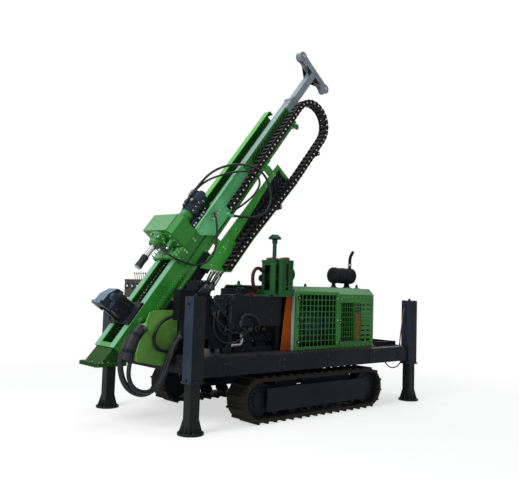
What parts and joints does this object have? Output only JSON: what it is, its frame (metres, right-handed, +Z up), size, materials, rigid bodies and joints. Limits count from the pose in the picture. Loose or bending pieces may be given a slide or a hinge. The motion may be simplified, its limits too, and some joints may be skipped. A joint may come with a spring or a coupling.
{
  "type": "crawler core drilling rig",
  "caption": "Crawler-mounted core drilling rig: sloping mast with rotation head, rod clamp and drag chain, four jacks, mesh-sided engine canopy.",
  "frame": {"origin": "on the ground, at the middle of the rig's length and width", "axes": "+X to the engine end, -X to the mast's foot, +Y to the side away from the drag chain, +Z up"},
  "size_m": [5.115, 2.22, 5.3669],
  "materials": {
    "black_paint": "satin",
    "navy_paint": "satin",
    "green_paint": "gloss",
    "light_green": "gloss",
    "grey_paint": "satin",
    "orange_paint": "satin",
    "teal_paint": "satin",
    "grey_steel": "satin",
    "track_steel": "matte",
    "bright_steel": "brushed",
    "chain_black": "matte",
    "engine_grey": "rough",
    "soot_black": "matte",
    "hose_black": "matte"
  },
  "bodies": {
    "base": {"canopy_shell": "green_paint", "cross_beams": "black_paint", "cylinder_lugs": "black_paint", "deck_hoses": "hose_black", "deck_sheet": "black_paint", "engine_block": "engine_grey", "fan_shroud": "orange_paint", "jack_tubes": "navy_paint", "mast_support": "light_green", "muffler": "soot_black", "mushroom_post": "teal_paint", "oil_tank": "black_paint", "pump_set": "black_paint", "radiator": "engine_grey", "side_beams": "black_paint", "side_mesh": "green_paint", "track_frames": "grey_steel", "tracks": "track_steel", "undercarriage": "black_paint", "valve_boxes": "black_paint", "winch_cage": "green_paint"},
    "jack_leg_front_near": {"jack_leg_front_near": "navy_paint"},
    "jack_leg_front_far": {"jack_leg_front_far": "navy_paint"},
    "jack_leg_rear_near": {"jack_leg_rear_near": "navy_paint"},
    "jack_leg_rear_far": {"jack_leg_rear_far": "navy_paint"},
    "door_near": {"canopy_door_near": "green_paint"},
    "door_far": {"canopy_door_far": "green_paint"},
    "winch": {"winch_drum": "engine_grey"},
    "cradle": {"tilt_frame": "green_paint"},
    "tilt_barrel_near": {"tilt_barrel_near": "black_paint"},
    "tilt_rod_near": {"tilt_rod_near": "bright_steel"},
    "tilt_barrel_far": {"tilt_barrel_far": "black_paint"},
    "tilt_rod_far": {"tilt_rod_far": "bright_steel"},
    "mast": {"chain_tray": "light_green", "crown_sleeve": "grey_paint", "drag_chain": "chain_black", "mast_beam": "green_paint", "mast_foot": "green_paint", "rod_clamp": "navy_paint"},
    "crown": {"crown_tube": "grey_paint"},
    "sheave_rear": {"crown_sheave_rear": "grey_paint"},
    "sheave_front": {"crown_sheave_front": "grey_paint"},
    "head": {"chain_bracket": "light_green", "head_case": "green_paint", "head_hose": "hose_black", "head_motor": "black_paint"},
    "spindle": {"spindle": "bright_steel"}
  },
  "joints": [
    {"name": "jack_front_near_slide", "type": "slide", "parent": "base", "child": "jack_leg_front_near", "axis": [0, 0, 1], "range_m": [0, 0.36]},
    {"name": "jack_front_far_slide", "type": "slide", "parent": "base", "child": "jack_leg_front_far", "axis": [0, 0, 1], "range_m": [0, 0.36]},
    {"name": "jack_rear_near_slide", "type": "slide", "parent": "base", "child": "jack_leg_rear_near", "axis": [0, 0, 1], "range_m": [0, 0.36]},
    {"name": "jack_rear_far_slide", "type": "slide", "parent": "base", "child": "jack_leg_rear_far", "axis": [0, 0, 1], "range_m": [0, 0.36]},
    {"name": "door_near_hinge", "type": "hinge", "parent": "base", "child": "door_near", "pos_m": [0.8985, -0.817, 1.2], "axis": [0, 0, 1], "range_deg": [0, 100]},
    {"name": "door_far_hinge", "type": "hinge", "parent": "base", "child": "door_far", "pos_m": [0.8985, 0.817, 1.2], "axis": [0, 0, -1], "range_deg": [0, 100]},
    {"name": "winch_spin", "type": "hinge", "parent": "base", "child": "winch", "pos_m": [-0.1375, -0.602, 1.8], "axis": [0, 1, 0], "continuous": true},
    {"name": "mast_tilt", "type": "hinge", "parent": "base", "child": "cradle", "pos_m": [-1.65639, 0, 1.08119], "axis": [0, -1, 0], "range_deg": [-7.4, 37.6]},
    {"name": "barrel_near_swing", "type": "hinge", "parent": "base", "child": "tilt_barrel_near", "pos_m": [-0.3975, -0.18, 0.93], "axis": [0, -1, 0], "range_deg": [-1.5, 1.5]},
    {"name": "rod_near_slide", "type": "slide", "parent": "tilt_barrel_near", "child": "tilt_rod_near", "axis": [-0.821, 0, 0.571], "range_m": [-0.08, 0.39]},
    {"name": "barrel_far_swing", "type": "hinge", "parent": "base", "child": "tilt_barrel_far", "pos_m": [-0.3975, 0.18, 0.93], "axis": [0, -1, 0], "range_deg": [-1.5, 1.5]},
    {"name": "rod_far_slide", "type": "slide", "parent": "tilt_barrel_far", "child": "tilt_rod_far", "axis": [-0.821, 0, 0.571], "range_m": [-0.08, 0.39]},
    {"name": "mast_slide", "type": "slide", "parent": "cradle", "child": "mast", "axis": [0.6101, 0, 0.7923], "range_m": [-0.1, 0.3]},
    {"name": "crown_slide", "type": "slide", "parent": "mast", "child": "crown", "axis": [0.6101, 0, 0.7923], "range_m": [-0.4, 0.6]},
    {"name": "sheave_rear_spin", "type": "hinge", "parent": "crown", "child": "sheave_rear", "pos_m": [1.33146, 0, 4.89543], "axis": [0, 1, 0], "continuous": true},
    {"name": "sheave_front_spin", "type": "hinge", "parent": "crown", "child": "sheave_front", "pos_m": [0.81647, 0, 5.29203], "axis": [0, 1, 0], "continuous": true},
    {"name": "head_feed", "type": "slide", "parent": "mast", "child": "head", "axis": [0.6101, 0, 0.7923], "range_m": [-0.65, 1.25]},
    {"name": "spindle_spin", "type": "hinge", "parent": "head", "child": "spindle", "pos_m": [-1.75814, 0, 2.10617], "axis": [0.6101, 0, 0.7923], "continuous": true}
  ],
  "couplings": [
    {"joint": "barrel_near_swing", "follows": "mast_tilt", "ratio": 0.02},
    {"joint": "rod_near_slide", "follows": "mast_tilt", "m_per_rad": 0.59},
    {"joint": "barrel_far_swing", "follows": "mast_tilt", "ratio": 0.02},
    {"joint": "rod_far_slide", "follows": "mast_tilt", "m_per_rad": 0.59}
  ]
}
